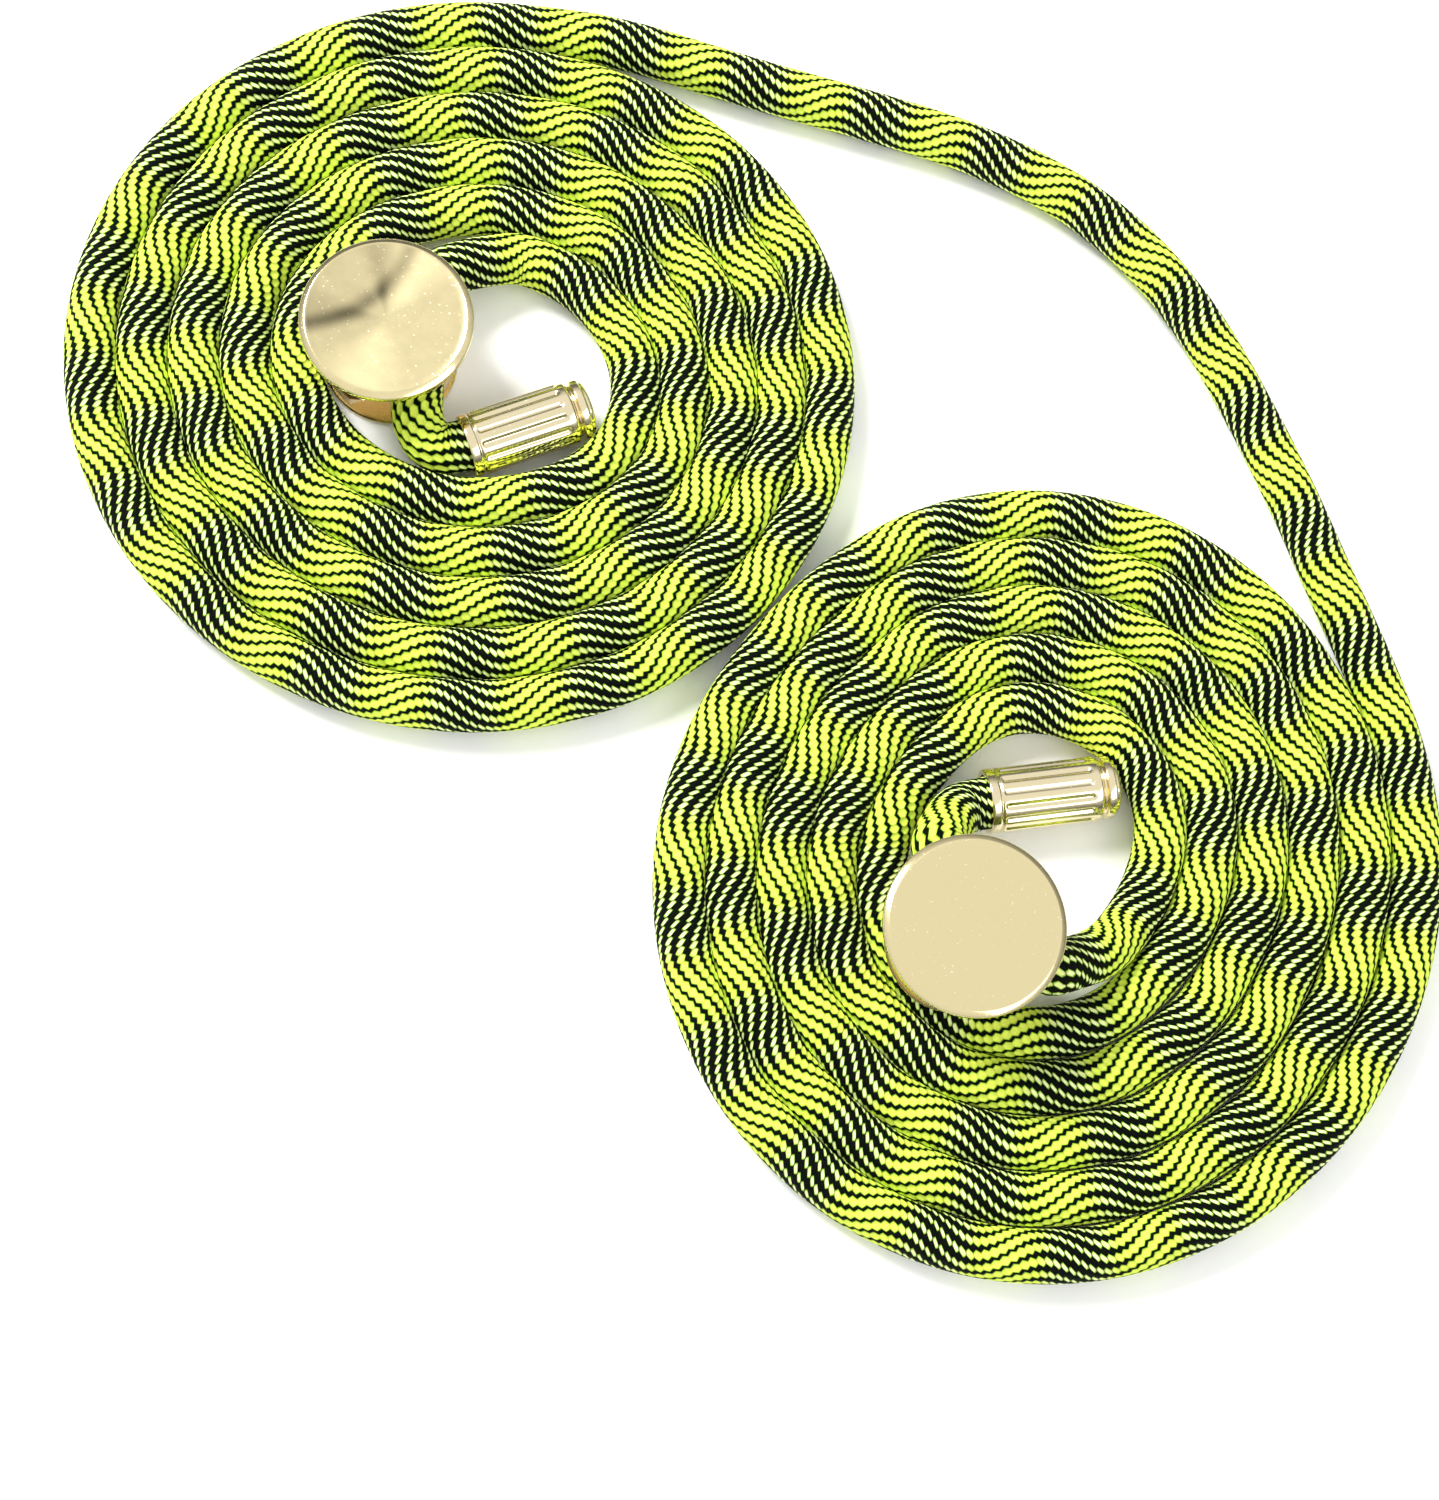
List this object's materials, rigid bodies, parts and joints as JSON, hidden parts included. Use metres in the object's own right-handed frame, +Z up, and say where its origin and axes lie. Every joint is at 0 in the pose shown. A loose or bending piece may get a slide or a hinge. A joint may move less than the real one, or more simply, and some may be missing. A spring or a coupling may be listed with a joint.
{
  "type": "mat carry cord",
  "caption": "Round braided cord laid as two flat coils, with push-button slide locks on it and fluted metal caps on its ends, for tying and carrying a rolled mat.",
  "frame": {"origin": "on the floor, under the middle of the box round the locks and caps", "axes": "+Z up from the floor that the cord lies on; +X to the right and +Y away, as the cord is first seen, with the left coil at -X +Y and the right coil at +X -Y"},
  "size_m": [0.2145, 0.2044, 0.0254],
  "materials": {
    "braid": "woven, matte",
    "drum_gold": "polished, plated pale gold",
    "button_gold": "polished, plated pale gold",
    "cap_gold": "polished, plated pale gold",
    "inner_brass": "satin",
    "spring_wire": "drawn wire",
    "screw_steel": "plated"
  },
  "bodies": {
    "cord": {"left_end_cord": "braid", "left_coil": "braid", "link_cord": "braid", "right_coil": "braid", "right_end_cord": "braid", "left_cap_sleeve": "cap_gold", "left_cap_plug": "cap_gold", "right_cap_sleeve": "cap_gold", "right_cap_plug": "cap_gold"},
    "left_lock": {"left_lock_base": "drum_gold", "left_lock_drum": "drum_gold", "left_lock_spring": "spring_wire"},
    "left_push": {"left_lock_plunger": "inner_brass", "left_button_screws": "screw_steel", "left_button": "button_gold"},
    "right_lock": {"right_lock_base": "drum_gold", "right_lock_drum": "drum_gold", "right_lock_spring": "spring_wire"},
    "right_push": {"right_lock_plunger": "inner_brass", "right_button_screws": "screw_steel", "right_button": "button_gold"}
  },
  "joints": [
    {"name": "left_lock_slide", "type": "slide", "parent": "cord", "child": "left_lock", "axis": [0.0349, 0.9994, 0], "range_m": [-0.001, 0.001]},
    {"name": "left_button_press", "type": "slide", "parent": "left_lock", "child": "left_push", "axis": [0, 0, -1], "range_m": [0, 0.0013], "stiffness_N_per_m": 3000, "springref_m": -0.0015, "deforming": ["left_lock_spring"]},
    {"name": "right_lock_slide", "type": "slide", "parent": "cord", "child": "right_lock", "axis": [-0.6561, 0.7547, 0], "range_m": [-0.001, 0.001]},
    {"name": "right_button_press", "type": "slide", "parent": "right_lock", "child": "right_push", "axis": [0, 0, -1], "range_m": [0, 0.0013], "stiffness_N_per_m": 3000, "springref_m": -0.0015, "deforming": ["right_lock_spring"]}
  ]
}
